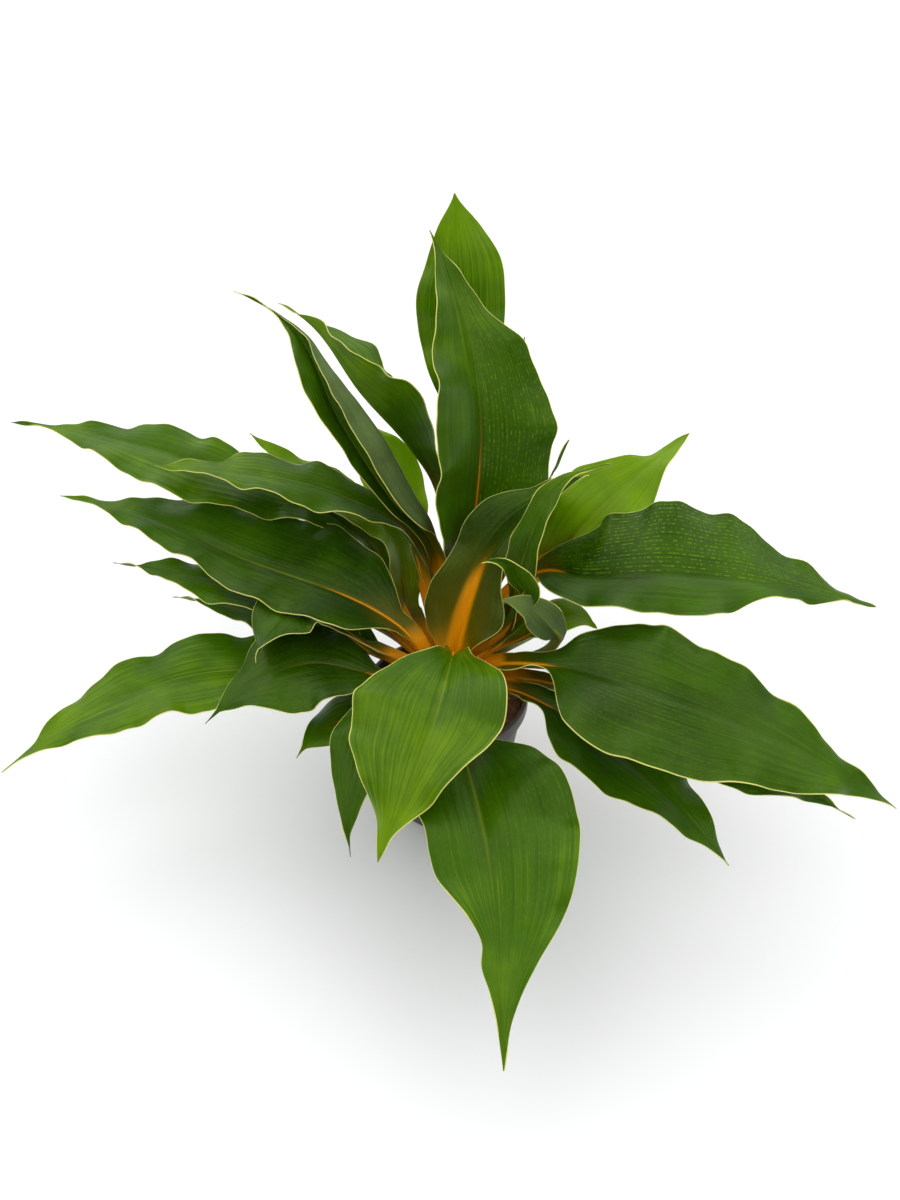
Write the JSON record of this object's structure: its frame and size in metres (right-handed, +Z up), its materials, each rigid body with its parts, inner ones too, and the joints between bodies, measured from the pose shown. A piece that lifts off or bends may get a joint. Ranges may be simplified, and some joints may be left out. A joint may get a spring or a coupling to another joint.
{
  "type": "potted chlorophytum",
  "caption": "Leafy house plant with broad, waved green blades with pale margins on orange stalks, standing in a small round nursery pot of soil.",
  "frame": {"origin": "middle of the pot's flat foot", "axes": "+Z up; -Y is the front, where the heart-shaped leaf hangs over the rim; +X is to the right of someone who looks at the front"},
  "size_m": [0.5155, 0.3568, 0.3382],
  "materials": {
    "deep_green": "satin, living leaf",
    "mid_green": "satin, living leaf",
    "pale_green": "satin, living leaf",
    "orange_stalk": "satin, fleshy stalk",
    "pot_plastic": "matte, moulded",
    "potting_soil": "rough, loose peat"
  },
  "bodies": {
    "root": {"pot": "pot_plastic", "potting_soil": "potting_soil", "crown_and_stalks": "orange_stalk", "leaf_back_pale": "pale_green", "leaf_back_tall": "mid_green", "leaf_back_tip": "mid_green", "leaf_back_right_thread": "mid_green", "leaf_back_left_folded": "mid_green", "leaf_back_left_twisted": "mid_green", "leaf_back_left_pale": "pale_green", "leaf_left_far": "mid_green", "leaf_left_curled": "mid_green", "leaf_left_small_pale": "pale_green", "leaf_left_broad": "mid_green", "leaf_left_low_back": "mid_green", "leaf_left_low_front": "mid_green", "leaf_left_hooked": "mid_green", "leaf_front_left_long": "mid_green", "leaf_front_left_dark": "deep_green", "leaf_front_left_short": "mid_green", "leaf_front_narrow": "mid_green", "leaf_front_heart": "mid_green", "leaf_front_long": "mid_green", "leaf_right_low_broad": "mid_green", "leaf_right_low_under": "mid_green", "leaf_front_right": "mid_green", "leaf_right_broad": "mid_green", "leaf_back_right_pale": "pale_green", "leaf_centre_folded": "deep_green", "leaf_centre_waved": "mid_green", "leaf_centre_young": "mid_green", "leaf_centre_young_low": "mid_green", "leaf_right_small": "pale_green"}
  },
  "joints": []
}
